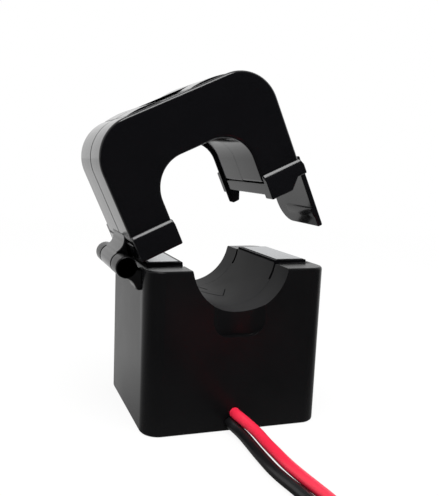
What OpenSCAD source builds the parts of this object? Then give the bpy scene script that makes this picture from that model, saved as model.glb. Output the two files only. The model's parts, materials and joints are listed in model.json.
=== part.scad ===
// Split-core current transformer with a hinged jaw and two free leads.
// The case stands on Z = 0 with its centre on the origin, X across, Y front to back.
// The jaw is drawn closed and turned open about the hinge by jaw_open.

/* [Case] */
// Width of the case
case_w = 45; // [42:0.5:52]
// Depth of the case, front to back
case_d = 37; // [37:0.5:46]
// Height of the case up to the parting plane
case_h = 39; // [39:0.5:48]
// Radius of the case's upright corners
case_corner_r = 4.4; // [2:0.2:6]
// Thickness of the case walls
wall = 1.8; // [1.2:0.1:2.2]
// Thickness of the case floor
floor_t = 1.6; // [1:0.1:2]
// Thickness of the plates that close the top of the case
lid_t = 1.6; // [1:0.1:2.2]

/* [Conductor window] */
// Width of the conductor window
window_w = 24; // [20:0.5:25]
// Depth of the half-round saddle below the parting plane
saddle_depth = 10.2; // [8:0.1:11]
// Thickness of the saddle's liner
liner_t = 1.4; // [1:0.1:1.6]
// Height of the window above the parting plane
window_rise = 18.5; // [14:0.5:20]
// Radius of the window's upper corners
window_corner_r = 8; // [4:0.5:10]
// Plastic left between window and core
window_wall = 0.6; // [0.4:0.05:0.8]

// Width of the slits between the case and its insert
slit_w = 0.8; // [0.4:0.1:1.2]
// Depth of the slits below the parting plane
slit_h = 4; // [3.5:0.5:6]

/* [Core] */
// Distance of the lamination stack from the case's front and rear faces
core_margin = 8.3; // [8.3:0.1:10]
// Height of the cores' yokes
yoke_h = 7.2; // [6:0.2:8]
// Height of the lower pole faces above the parting plane
pole_proud = 0.9; // [0.5:0.1:1.2]
// Gap between the pole faces when the jaw is closed
pole_gap = 0.1; // [0.05:0.05:0.3]
// Outer corner radius of the cut cores
core_corner_r = 5; // [4.5:0.5:6]
// Gap between the jaw's window wall and the yoke of its core
yoke_gap = 0.6; // [0.2:0.1:1]
// Gap between a core's sides and the plastic
core_clear = 0.2; // [0.1:0.05:0.3]
// Gap between the core's outer sides and the case walls
core_side_gap = 0.7; // [0.7:0.1:1.5]
// Thickness of the rims that stand round the lower poles
rim_t = 0.45; // [0.3:0.05:0.6]
// Distance of a rim's top below its pole face
rim_drop = 0.15; // [0.1:0.05:0.4]

/* [Winding] */
// Gap between the coil former and the core limb inside it
former_clear = 0.3; // [0.1:0.05:0.4]
// Wall of the coil former
former_t = 0.8; // [0.6:0.1:1]
// Thickness of the former's flanges
flange_t = 1; // [0.8:0.1:1.2]
// Room between the saddle's liner and the former's flanges
winding_headroom = 2.35; // [1:0.05:4]
// Room between the case walls and the former's flanges
winding_side_gap = 0.25; // [0.1:0.05:0.5]
// Height kept for the leads between the case floor and the flanges
lead_room = 4.35; // [4.3:0.05:6]
// Rounding of the former's long edges
former_edge_r = 2; // [1:0.2:3]
// Thickness of the tape over the winding
tape_t = 0.25; // [0.1:0.05:0.3]
// Distance of the flanges from the core's legs
flange_gap = 0.5; // [0.3:0.1:1]

/* [Jaw] */
// Height of the jaw above the parting plane
jaw_h = 31; // [28:0.5:36]
// Thickness of the jaw's front and rear faces
jaw_face_t = 2.5; // [1.6:0.1:2.6]
// Thickness of the jaw's outer band
jaw_band_t = 1.8; // [1.4:0.1:2.2]
// Radius of the jaw's upper corners
jaw_corner_r = 9.5; // [6:0.5:10]
// Depth of the front half of the jaw, up to its seam
jaw_front_d = 11.7; // [8:0.1:14]
// Width of the groove along the seam
seam_groove_w = 0.6; // [0.4:0.1:1]
// Depth of the groove along the seam
seam_groove_t = 0.4; // [0.2:0.1:0.8]
// Length of each grip rib on top of the jaw
rib_w = 9; // [5:0.5:10]
// Distance of the grip ribs from the middle
rib_inset = 3.4; // [2:0.1:4]
// Height of the grip ribs
rib_h = 0.5; // [0.3:0.1:1]
// Distance of the grip ribs from the jaw's faces
rib_margin = 1; // [0:0.5:3]

// Length of the leaf spring over the upper core
spring_len = 18; // [12:0.5:24]
// Width of the leaf spring
spring_w = 8; // [4:0.5:12]
// Thickness of the leaf spring
spring_t = 0.3; // [0.2:0.05:0.5]

/* [Feet] */
// Thickness of the feet under the jaw's legs
foot_t = 4; // [3.5:0.1:5]
// Height of the collars that the legs stand in
collar_h = 2; // [1:0.1:3]
// Thickness of the collars
collar_t = 1.9; // [1.2:0.1:2.5]
// Gap between the feet and the case when the jaw is closed
foot_gap = 0.15; // [0.1:0.05:0.3]
// Gap between a rim and the pocket in the foot above it
rim_clear = 0.3; // [0.2:0.05:0.5]
// Side of the corner cut off under the latch foot
foot_chamfer = 3.1; // [1:0.1:3.2]
// Play between the jaw's shells and the feet
seat_gap = 0.05; // [0.05:0.05:0.15]

/* [Latch] */
// Thickness of the latch tongue
tongue_t = 1.3; // [1:0.1:1.6]
// Gap between the tongue and the case
tongue_gap = 0.5; // [0.5:0.05:0.8]
// Thickness of the bridge that carries the tongue
bridge_t = 1.6; // [1:0.1:2]
// Distance of the tongue's front edge from the middle
tongue_front = 10.5; // [6:0.5:11]
// Distance of the tongue's rear edge from the middle
tongue_rear = 8; // [6:0.5:11]
// Reach of the tongue below the parting plane
tongue_reach = 12.5; // [8:0.5:14]
// Radius of the tongue's rear lower corner
tongue_corner_r = 5.5; // [2:0.5:6]
// Height of the hook on the tongue
hook_h = 3; // [2:0.1:4]
// Depth of the hook on the tongue
hook_t = 0.35; // [0.2:0.05:0.35]
// Depth of the catch pocket in the case
catch_t = 0.9; // [0.5:0.1:1]
// Play between the hook and the ends of the catch pocket
catch_play = 0.6; // [0.4:0.1:1]

// Width of the locating lug behind the latch foot
lug_w = 3.3; // [2:0.1:3.5]
// Thickness of the lug
lug_t = 0.5; // [0.3:0.05:0.5]
// Reach of the lug below the parting plane
lug_reach = 2.8; // [1.5:0.1:3]
// Taper of the lug's outer edge
lug_taper = 1.3; // [0.5:0.1:1.5]
// Play beside the lug in its slit
lug_play = 0.3; // [0.2:0.05:0.4]

/* [Hinge] */
// Distance of the hinge axis from the side of the case
hinge_out = 3.3; // [3.1:0.1:4]
// Outer diameter of the knuckles
knuckle_dia = 5.2; // [4.6:0.1:5.6]
// Overall length of the hinge
hinge_len = 25; // [20:0.5:28]
// Length of the jaw's knuckle
mid_knuckle_len = 12.4; // [8:0.2:14]
// Play between two knuckles
knuckle_gap = 0.3; // [0.2:0.05:0.5]
// Diameter of the hinge pin
pin_dia = 2; // [1.6:0.1:2.4]
// Radial play between pin and knuckles
pin_play = 0.05; // [0.02:0.01:0.1]
// Depth of the counterbores at the ends of the hinge
counterbore_t = 0.8; // [0.4:0.1:1.2]
// Radius of the hollow in the jaw's hinge arm
arm_fillet_r = 3.2; // [2.5:0.1:3.2]
// Height of the gussets under the case's knuckles
gusset_h = 5.4; // [4:0.1:7]
// Opening of the jaw from its closed position, in degrees
jaw_open = 24.5; // [0:0.5:100]

/* [Thumb recess] */
// Width of the recess below the saddle
recess_w = 13; // [8:0.5:16]
// Depth of the recess
recess_t = 1.5; // [0.8:0.1:1.5]
// Height of the recess below the saddle
recess_h = 5.6; // [3:0.1:8]
// Radius of the recess's lower corners
recess_corner_r = 4; // [1:0.5:5]

/* [Leads] */
// Diameter of each lead over its insulation
lead_dia = 2.6; // [2.2:0.1:2.6]
// Diameter of the tinned end of a lead
strand_dia = 1.6; // [1.2:0.1:1.8]
// Length of the tinned end of a lead
strand_len = 6; // [3:0.5:8]
// Play round a lead in its holes
lead_play = 0.05; // [0.05:0.05:0.1]
// Length of the shrink sleeve over a joint
sleeve_len = 7; // [4:0.5:8]
// Thickness of the clamp behind the outlet
clamp_t = 3; // [2:0.5:4]
// Width of the tie round a lead's coil
tie_w = 4; // [3:0.5:5]
// Thickness of the tie round a lead's coil
tie_t = 0.5; // [0.3:0.1:0.8]

/* [Hidden] */
$fn = 64;
slack = 0.05;
eps = 0.01;

// Window and case
window_r = window_w / 2;
saddle_z = case_h + window_r - saddle_depth;
inner_w = case_w - 2 * wall;
inner_d = case_d - 2 * wall;

// Core
core_in = window_r + window_wall + core_clear;
core_out = inner_w / 2 - core_side_gap;
pole_z = case_h + pole_proud;
rim_z = pole_z - rim_drop;
core_y = case_d / 2 - core_margin;
rim_y = core_y + core_clear + rim_t;

// Saddle insert
cradle_y = rim_y + slit_w;
plate_z = case_h - lid_t;

// Winding, from the saddle down to the room kept for the leads
former_in_y = core_y + former_clear;
former_y = former_in_y + former_t;
flange_y = inner_d / 2 - winding_side_gap;
flange_z0 = floor_t + lead_room;
flange_z1 = case_h - saddle_depth - liner_t - winding_headroom;
former_in_h = yoke_h + 2 * former_clear;
former_h = former_in_h + 2 * former_t;
former_mid_z = (flange_z0 + flange_z1) / 2;
core_base_z = former_mid_z - yoke_h / 2;
flange_over = [flange_y - former_y, (flange_z1 - flange_z0 - former_h) / 2];
tape_over = flange_over - [2, 2] * slack;
winding_over = tape_over - [1, 1] * tape_t;
former_half = core_in - flange_gap;
winding_half = former_half - flange_t;

// Jaw
jaw_y = core_y + core_clear + 0.1 + jaw_face_t;
seam_y = -jaw_y + jaw_front_d;
foot_z = case_h + foot_gap;
leg_z = foot_z + foot_t;
shell_z = leg_z + seat_gap;
jaw_top = case_h + jaw_h;
window_top = case_h + window_rise;
upper_pole_z = pole_z + pole_gap;
upper_core_in_z = window_top + window_wall + yoke_gap;
upper_core_top = upper_core_in_z + yoke_h;
cavity_top = jaw_top - jaw_band_t;
cavity_x = core_out + core_clear;
cavity_corner_r = jaw_corner_r - jaw_band_t;
foot_y = jaw_y + seat_gap + collar_t;
pocket_z = rim_z + pole_gap + rim_clear;
pocket_y = rim_y + rim_clear;

// Latch
tongue_x = case_w / 2 + tongue_gap;
tongue_z = case_h - tongue_reach;
hook_z = tongue_z + 2.4;
foot_side_x = core_out + core_clear + 0.5;
bridge_z = leg_z - bridge_t;

// Hinge
hinge_x = -case_w / 2 - hinge_out;
hinge_z = case_h;
knuckle_r = knuckle_dia / 2;
hinge_y = hinge_len / 2;
mid_y = mid_knuckle_len / 2;
side_knuckle_len = hinge_y - mid_y - knuckle_gap;
pin_len = hinge_len - 2 * counterbore_t + 0.6;

// Leads: where they leave the case, and their routes along the bench
lead_r = lead_dia / 2;
red_x = -0.2;
red_z = 4.5;
black_x = -1.4;
black_z = 2.15;
lead_root_len = 8;
clamp_w = 9;
clamp_y = -inner_d / 2 + 0.1;
resin_top = 5.9;
face_y = -case_d / 2;
red_route = [[0, 0, 0], [0.1, -1.5, 0], [0.7, -3.5, -0.3], [1.4, -6, -0.8], [1.9, -9, -1.2],
    [2, -12.5, -1.5], [2, -17, -1.5], [2.1, -22, -1.55], [2.6, -26, -1.7], [3.4, -30, -1.95],
    [4.3, -34, -2.3], [5, -38.5, -2.7], [5.6, -43.5, -3], [6, -47.5, -3.15], [6.1, -51.5, -3.2],
    [6.1, -56, -3.2]];
black_route = [[0, 0, 0], [0.1, -1.5, 0], [0.6, -3.2, -0.3], [1, -5.5, -0.6], [1.1, -8.5, -0.8],
    [1, -12, -0.85], [0.9, -16, -0.85], [0.9, -20.5, -0.85], [1.3, -24.5, -0.85],
    [1.9, -28, -0.85], [2.4, -32, -0.85], [2.6, -36.5, -0.85], [2.7, -41.5, -0.85],
    [2.7, -46, -0.85], [2.7, -51, -0.85], [2.7, -56, -0.85]];

// Coils of the leads: turns side by side and on each other
coil_r = 13.2;
coil_rows = 4;
coil_layers = 3;
coil_out = coil_r + coil_rows * lead_r;
coil_in = coil_r - coil_rows * lead_r;
coil_top = coil_layers * lead_dia;
coil_turn_r = coil_out - lead_r;
red_end = red_route[len(red_route) - 1];
black_end = black_route[len(black_route) - 1];
red_coil_x = red_x + red_end[0] + coil_turn_r;
black_coil_x = black_x + black_end[0] - coil_turn_r;
coil_y = face_y + red_end[1] - sqrt(pow(coil_out, 2) - pow(coil_turn_r - lead_r, 2));
end_r = coil_turn_r - 2 * lead_dia;
end_z = coil_top - lead_r;
end_angle = 330;

// ---- helpers ----

module rounded(w, h, r) {
    square([w - 2 * r, h], center = true);
    square([w, h - 2 * r], center = true);
    for (x = [-1, 1], y = [-1, 1])
        translate([x * (w / 2 - r), y * (h / 2 - r)]) circle(r);
}

// Stands a profile drawn in X and Z between two depths
module between(y0, y1) {
    translate([0, y1, 0]) rotate([90, 0, 0]) linear_extrude(y1 - y0) children();
}

// Lays a profile drawn in Y and Z between two places across
module across(x0, x1) {
    translate([x0, 0, 0]) rotate([90, 0, 90]) linear_extrude(x1 - x0) children();
}

module along_y(r, y0, y1) {
    translate([0, y1, 0]) rotate([90, 0, 0]) cylinder(r = r, h = y1 - y0);
}

module block(x, y, z) {
    translate([x[0], y[0], z[0]]) cube([x[1] - x[0], y[1] - y[0], z[1] - z[0]]);
}

// Arch with round upper corners, from z0 up to z1
module arch(half, z0, z1, r) {
    translate([-half, z0]) square([2 * half, z1 - z0 - r]);
    translate([-half + r, z0]) square([2 * half - 2 * r, z1 - z0]);
    for (x = [-1, 1]) translate([x * (half - r), z1 - r]) circle(r);
}

module turned_open() {
    translate([hinge_x, 0, hinge_z]) rotate([0, -jaw_open, 0])
        translate([-hinge_x, 0, -hinge_z]) children();
}

module both_sides() {
    children();
    mirror([1, 0, 0]) children();
}

// ---- case ----

module saddle_liner() {
    intersection() {
        difference() {
            translate([0, saddle_z]) circle(window_r + liner_t);
            translate([0, saddle_z]) circle(window_r);
        }
        translate([-inner_w / 2, 0]) square([inner_w, case_h]);
    }
}

module top_plates(half) {
    difference() {
        translate([-half, plate_z]) square([2 * half, lid_t]);
        translate([0, saddle_z]) circle(window_r);
    }
}

module thumb_recess() {
    scoop_r = (pow(recess_w / 2, 2) + pow(recess_t, 2)) / (2 * recess_t);
    z0 = case_h - saddle_depth - recess_h;
    intersection() {
        translate([0, face_y + recess_t - scoop_r, z0]) cylinder(r = scoop_r, h = 2 * recess_h);
        between(face_y - 1, face_y + recess_t + 1) translate([0, z0 + recess_h])
            rounded(recess_w, 2 * recess_h, recess_corner_r);
    }
}

module lead_holes(r, y0, y1) {
    translate([red_x, 0, red_z]) along_y(r, y0, y1);
    translate([black_x, 0, black_z]) along_y(r, y0, y1);
}

// Knuckle with the curved gusset that carries it
module case_knuckle(y0) {
    fillet_r = gusset_h - 0.4;
    translate([hinge_x, 0, hinge_z]) along_y(knuckle_r, y0, y0 + side_knuckle_len);
    between(y0, y0 + side_knuckle_len) difference() {
        translate([hinge_x, hinge_z - gusset_h]) square([hinge_out + wall / 2, gusset_h]);
        translate([hinge_x - knuckle_r + 1.6, hinge_z - gusset_h - 0.4]) circle(fillet_r - 1.6);
        translate([hinge_x - 1, hinge_z - gusset_h - 1]) square([1, gusset_h - knuckle_r + 1]);
    }
}

module lower_case() {
    color("#1a1a1c") difference() {
        union() {
            difference() {
                linear_extrude(case_h) rounded(case_w, case_d, case_corner_r);
                translate([0, 0, floor_t]) linear_extrude(case_h)
                    rounded(inner_w, inner_d, case_corner_r - wall);
                between(-case_d, case_d) translate([0, saddle_z]) circle(window_r);
            }
            for (side = [-1, 1]) {
                y0 = side < 0 ? face_y + wall / 2 : cradle_y + slack;
                y1 = side < 0 ? -cradle_y - slack : case_d / 2 - wall / 2;
                between(y0, y1) {
                    saddle_liner();
                    top_plates(inner_w / 2 + slack);
                }
            }
            case_knuckle(-hinge_y);
            case_knuckle(mid_y + knuckle_gap);
        }
        thumb_recess();
        lead_holes(lead_r + lead_play, face_y - 1, face_y + wall + lead_root_len + sleeve_len);
        translate([hinge_x, 0, hinge_z]) {
            along_y(pin_dia / 2 + pin_play, -hinge_y - 1, hinge_y + 1);
            along_y(pin_dia / 2 + 0.7, -hinge_y - 1, -hinge_y + counterbore_t);
            along_y(pin_dia / 2 + 0.7, hinge_y - counterbore_t, hinge_y + 1);
        }
        block([case_w / 2 - catch_t, case_w / 2 + 1], [-tongue_front - catch_play,
            tongue_rear + catch_play], [hook_z - catch_play, hook_z + hook_h + catch_play]);
    }
}

// Insert that closes the case between the slits, with the poles standing through it
module cradle() {
    color("#202022") difference() {
        union() {
            between(-cradle_y, cradle_y) {
                intersection() {
                    translate([0, saddle_z]) circle(window_r + liner_t);
                    translate([-inner_w / 2, 0]) square([inner_w, plate_z + slack]);
                }
                translate([-inner_w / 2 + slack, plate_z]) square([inner_w - 2 * slack, lid_t]);
            }
            both_sides() block([window_r / 2, core_out + core_clear + rim_t], [-rim_y, rim_y],
                [plate_z + slack, rim_z]);
        }
        translate([0, 0, saddle_z]) along_y(window_r, -cradle_y - 1, cradle_y + 1);
        both_sides() {
            block([core_in - core_clear, core_out + core_clear], [-core_y - core_clear,
                core_y + core_clear], [0, 2 * case_h]);
            for (y = [-cradle_y - 1, rim_y])
                block([0, core_in - core_clear], [y, y + slit_w + 1], [case_h - slit_h, 2 * case_h]);
        }
        block([0, window_r + lug_w + lug_play], [rim_y, cradle_y + 1], [case_h - slit_h, 2 * case_h]);
    }
}

// ---- core and winding ----

// U of rounded outline, legs up to z1, base at z0
module core_outline(z0, z1) {
    difference() {
        union() {
            translate([-core_out, z0 + core_corner_r]) square([2 * core_out, z1 - z0 - core_corner_r]);
            translate([-core_out + core_corner_r, z0])
                square([2 * (core_out - core_corner_r), z1 - z0]);
            for (x = [-1, 1]) translate([x * (core_out - core_corner_r), z0 + core_corner_r])
                circle(core_corner_r);
        }
        translate([-core_in, z0 + yoke_h]) square([2 * core_in, z1]);
    }
}

module lower_core() {
    color("#b9bcc0") between(-core_y, core_y) core_outline(core_base_z, pole_z);
}

// Section round the former, grown by over in Y and Z
module former_section(over) {
    translate([0, former_mid_z])
        rounded(2 * (former_y + over[0]), former_h + 2 * over[1], former_edge_r);
}

module former() {
    difference() {
        union() {
            across(-former_half, former_half) former_section([0, 0]);
            both_sides() across(winding_half, former_half) former_section(flange_over);
        }
        across(-former_half - 1, former_half + 1) translate([0, former_mid_z])
            square([2 * former_in_y, former_in_h], center = true);
    }
}

module former_upper() {
    color("#e9e4d2") intersection() {
        former();
        block([-case_w, case_w], [-case_d, case_d], [former_mid_z + slack / 2, case_h]);
    }
}

module former_lower() {
    color("#e9e4d2") intersection() {
        former();
        block([-case_w, case_w], [-case_d, case_d], [0, former_mid_z - slack / 2]);
    }
}

module wrap(inner, outer) {
    across(-winding_half + slack, winding_half - slack) difference() {
        former_section(outer);
        former_section(inner);
    }
}

module secondary_winding() {
    color("#b4622d") wrap([slack, slack], winding_over);
}

module winding_tape() {
    color("#d9a441") wrap(winding_over, tape_over);
}

module resin_bed() {
    color("#4a3a2c") difference() {
        block([-inner_w / 2 + 0.1, inner_w / 2 - 0.1], [clamp_y + clamp_t + 0.1, inner_d / 2 - 0.1],
            [floor_t, flange_z0 - slack]);
        lead_holes(lead_r + lead_play, face_y, face_y + wall + lead_root_len + sleeve_len);
        for (x = [-1, 1], y = [-1, 1]) translate([x * inner_w / 2, y * inner_d / 2, 0])
            rotate([0, 0, 45]) translate([-case_corner_r / 2, -case_corner_r / 2, 0])
                cube([case_corner_r, case_corner_r, case_h]);
    }
}

// ---- leads ----

module lead_clamp() {
    color("#2a2a2c") difference() {
        block([black_x - clamp_w / 2, black_x + clamp_w / 2], [clamp_y, clamp_y + clamp_t],
            [floor_t, resin_top]);
        lead_holes(lead_r + lead_play, face_y, 0);
    }
}

module lead_root(x, z) {
    translate([x, 0, z]) along_y(lead_r, face_y, face_y + wall + lead_root_len);
}

module red_lead_root() { color("#c8102e") lead_root(red_x, red_z); }
module black_lead_root() { color("#151515") lead_root(black_x, black_z); }

module joint_sleeve(x, z) {
    y0 = face_y + wall + lead_root_len;
    translate([x, 0, z]) along_y(lead_r, y0, y0 + sleeve_len - slack);
}

module red_joint_sleeve() { color("#8c1a26") joint_sleeve(red_x, red_z); }
module black_joint_sleeve() { color("#26262a") joint_sleeve(black_x, black_z); }

function unit(v) = v / norm(v);

// Round tube of eight sides that leaves a hole in the front face along -Y
module tube(path, d) {
    n = 8;
    last = len(path) - 1;
    rings = [for (i = [0 : last]) let (
        t = i == 0 ? [0, -1, 0] : unit(path[min(i + 1, last)] - path[i - 1]),
        side = unit(cross(t, [0, 0, 1])), up = cross(side, t))
        for (j = [0 : n - 1]) path[i] + d / 2 * (cos(j * 360 / n) * side + sin(j * 360 / n) * up)];
    polyhedron(points = rings, faces = concat([[for (j = [n - 1 : -1 : 0]) j]],
        [[for (j = [0 : n - 1]) last * n + j]],
        [for (i = [0 : last - 1], j = [0 : n - 1])
            [i * n + j, i * n + (j + 1) % n, (i + 1) * n + (j + 1) % n, (i + 1) * n + j]]));
}

module free_lead(x, z, route) {
    translate([x, face_y, z]) tube(route, lead_dia);
}

module red_lead() { color("#c8102e") free_lead(red_x, red_z, red_route); }
module black_lead() { color("#151515") free_lead(black_x, black_z, black_route); }

// Outer shape of one coil, with room for its tie and its tinned end
module lead_coil(x, tie_angle) {
    translate([x, coil_y, 0]) difference() {
        rotate_extrude() polygon([[coil_in, 0], [coil_out, 0], [coil_out, coil_top],
            [coil_in + lead_dia, coil_top], [coil_in + lead_dia, coil_top - lead_dia],
            [coil_in, coil_top - lead_dia]]);
        rotate([0, 0, tie_angle]) difference() {
            block([coil_in - 1, coil_out + 1], [-tie_w / 2 - slack, tie_w / 2 + slack],
                [-1, coil_top + 1]);
            block([coil_in + tie_t, coil_out - tie_t], [-tie_w, tie_w], [tie_t, coil_top - tie_t]);
        }
        rotate([0, 0, end_angle]) block([end_r - lead_r, end_r + lead_r],
            [-strand_len / 2 - slack, strand_len / 2 + slack], [coil_top - lead_dia, coil_top + 1]);
    }
}

module coil_tie(x, tie_angle) {
    translate([x, coil_y, 0]) rotate([0, 0, tie_angle]) difference() {
        block([coil_in, coil_out], [-tie_w / 2, tie_w / 2], [0, coil_top]);
        block([coil_in + tie_t, coil_out - tie_t], [-tie_w, tie_w], [tie_t, coil_top - tie_t]);
        block([coil_in - 1, coil_in + lead_dia - slack], [-tie_w, tie_w],
            [coil_top - lead_dia + slack, coil_top + 1]);
    }
}

module lead_end(x) {
    translate([x, coil_y, end_z]) rotate([0, 0, end_angle]) translate([end_r, 0, 0])
        along_y(strand_dia / 2, -strand_len / 2, strand_len / 2);
}

red_tie_angle = 60;
black_tie_angle = 120;
module red_lead_coil() { color("#c8102e") lead_coil(red_coil_x, red_tie_angle); }
module black_lead_coil() { color("#151515") lead_coil(black_coil_x, black_tie_angle); }
module red_lead_end() { color("#c9c9c4") lead_end(red_coil_x); }
module black_lead_end() { color("#c9c9c4") lead_end(black_coil_x); }
module red_coil_tie() { color("#303034") coil_tie(red_coil_x, red_tie_angle); }
module black_coil_tie() { color("#303034") coil_tie(black_coil_x, black_tie_angle); }

// ---- hinge pin ----

module hinge_pin() {
    color("#a9adb2") translate([hinge_x, 0, hinge_z])
        along_y(pin_dia / 2, -pin_len / 2, pin_len / 2);
}

// ---- jaw ----

module jaw_outline() {
    difference() {
        arch(case_w / 2, shell_z, jaw_top, jaw_corner_r);
        translate([0, -1]) arch(window_r, shell_z - 1, window_top + 1, window_corner_r);
    }
}

module jaw_cavity() {
    difference() {
        translate([0, -1]) arch(cavity_x, shell_z - 1, cavity_top + 1, cavity_corner_r);
        arch(window_r + window_wall, case_h - foot_t, window_top + window_wall,
            window_corner_r + window_wall);
    }
}

module grip_ribs(y0, y1) {
    for (x = [-rib_inset - rib_w, rib_inset])
        block([x, x + rib_w], [y0, y1], [jaw_top - 1, jaw_top + rib_h]);
}

module seam_groove(y0, y1) {
    between(y0, y1) difference() {
        arch(case_w / 2 + 1, shell_z - 1, jaw_top + 2, jaw_corner_r + 1);
        translate([0, -1]) arch(case_w / 2 - seam_groove_t, case_h, jaw_top + 1 - seam_groove_t,
            jaw_corner_r - seam_groove_t);
    }
}

module jaw_front_shell() {
    color("#1c1c1e") turned_open() difference() {
        union() {
            between(-jaw_y, seam_y) jaw_outline();
            grip_ribs(-jaw_y + rib_margin, seam_y);
        }
        between(-jaw_y + jaw_face_t, seam_y + 1) jaw_cavity();
        seam_groove(seam_y - seam_groove_w, seam_y + 1);
    }
}

module jaw_rear_shell() {
    color("#1c1c1e") turned_open() difference() {
        union() {
            between(seam_y + eps, jaw_y) jaw_outline();
            grip_ribs(seam_y + eps, jaw_y - rib_margin);
        }
        between(seam_y - 1, jaw_y - jaw_face_t) jaw_cavity();
    }
}

module upper_core() {
    color("#b9bcc0") turned_open() between(-core_y, core_y)
        translate([0, upper_core_top]) mirror([0, 1]) core_outline(0, upper_core_top - upper_pole_z);
}

// Bowed leaf between the core and the roof of the jaw
module core_spring() {
    half = spring_len / 2;
    sag = cavity_top - upper_core_top - spring_t - 2 * slack;
    r = (half * half + sag * sag) / (2 * sag);
    color("#9aa0a6") turned_open() between(-spring_w / 2, spring_w / 2) intersection() {
        translate([0, cavity_top - slack - r]) difference() {
            circle(r, $fn = 180);
            circle(r - spring_t, $fn = 180);
        }
        translate([-half, upper_core_top]) square([2 * half, cavity_top]);
    }
}

// ---- feet of the jaw ----

// One foot, drawn on the right: lips in front and behind, a pocket for the pole rim between them
module foot() {
    difference() {
        block([window_r, case_w / 2], [-foot_y, foot_y], [foot_z, leg_z + collar_h]);
        block([window_r - 1, case_w / 2 + 1], [-jaw_y - seat_gap, jaw_y + seat_gap],
            [leg_z, leg_z + collar_h + 1]);
        block([core_in - core_clear, core_out + core_clear], [-core_y - core_clear,
            core_y + core_clear], [foot_z - 1, leg_z + 1]);
        block([window_r - 1, core_out + core_clear + rim_t + rim_clear], [-pocket_y, pocket_y],
            [foot_z - 1, pocket_z]);
    }
}

// Knuckle of the jaw and the arm that carries it, hollowed towards the leg
module hinge_arm() {
    leg_x = -case_w / 2 - seat_gap;
    difference() {
        union() {
            translate([hinge_x, 0, hinge_z]) along_y(knuckle_r, -mid_y, mid_y);
            between(-mid_y, mid_y) {
                translate([hinge_x, foot_z]) square([leg_x + 0.5 - hinge_x, foot_t]);
                translate([hinge_x, leg_z - 0.5]) square([leg_x - hinge_x, collar_h + 0.5]);
            }
        }
        translate([leg_x - arm_fillet_r, 0, leg_z + collar_h])
            along_y(arm_fillet_r, -mid_y - 1, mid_y + 1);
        translate([hinge_x, 0, hinge_z])
            along_y(pin_dia / 2 + pin_play, -mid_y - 1, mid_y + 1);
    }
}

module hinge_foot() {
    color("#1c1c1e") turned_open() {
        mirror([1, 0, 0]) foot();
        hinge_arm();
    }
}

// Springy tongue that hangs beside the case and carries the hook
module latch_tongue() {
    hook_front = -tongue_front;
    hook_rear = tongue_rear - tongue_corner_r;
    across(tongue_x, tongue_x + tongue_t) difference() {
        translate([-tongue_front, tongue_z])
            square([tongue_front + tongue_rear, leg_z + collar_h - tongue_z]);
        translate([tongue_rear - tongue_corner_r, tongue_z]) difference() {
            translate([0, -1]) square([tongue_corner_r + 1, tongue_corner_r + 1]);
            translate([0, tongue_corner_r]) circle(tongue_corner_r);
        }
    }
    block([case_w / 2 - 0.5, tongue_x + 0.5], [-tongue_front, tongue_rear], [bridge_z, leg_z]);
    block([case_w / 2 + slack, tongue_x + 0.5], [-tongue_front, tongue_rear],
        [leg_z - 0.5, leg_z + collar_h]);
    between(hook_front, hook_rear) polygon([[tongue_x + 0.5, hook_z], [tongue_x, hook_z],
        [tongue_x - hook_t, hook_z + 1], [tongue_x - hook_t, hook_z + hook_h],
        [tongue_x + 0.5, hook_z + hook_h]]);
}

// Tapered plate that enters the rear slit as the jaw closes
module locating_lug() {
    y = rim_y + (slit_w - lug_t) / 2;
    between(y, y + lug_t) polygon([[window_r, leg_z], [window_r, case_h - lug_reach],
        [window_r + lug_w - lug_taper, case_h - lug_reach], [window_r + lug_w, foot_z],
        [window_r + lug_w, leg_z]]);
}

module latch_foot() {
    color("#1c1c1e") turned_open() {
        difference() {
            foot();
            block([foot_side_x, case_w / 2 + 1], [-foot_y - 1, foot_y + 1], [foot_z - 1, bridge_z]);
            for (y = [-foot_y - 1, pocket_y]) between(y, y + foot_y + 1 - pocket_y)
                polygon([[foot_side_x - foot_chamfer, foot_z - eps], [foot_side_x + eps,
                    foot_z - eps], [foot_side_x + eps, bridge_z], [foot_side_x - foot_chamfer
                    + bridge_z - foot_z, bridge_z]]);
        }
        latch_tongue();
        locating_lug();
    }
}

lower_case();
cradle();
lower_core();
former_upper();
former_lower();
secondary_winding();
winding_tape();
resin_bed();
lead_clamp();
red_lead_root();
black_lead_root();
red_joint_sleeve();
black_joint_sleeve();
hinge_pin();
red_lead();
black_lead();
red_lead_coil();
black_lead_coil();
red_lead_end();
black_lead_end();
red_coil_tie();
black_coil_tie();
jaw_front_shell();
jaw_rear_shell();
upper_core();
core_spring();
hinge_foot();
latch_foot();
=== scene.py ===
# Split-core current transformer with its jaw open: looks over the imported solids.
import json
import math
import bmesh
import bpy
from mathutils import Matrix, Vector


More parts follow.
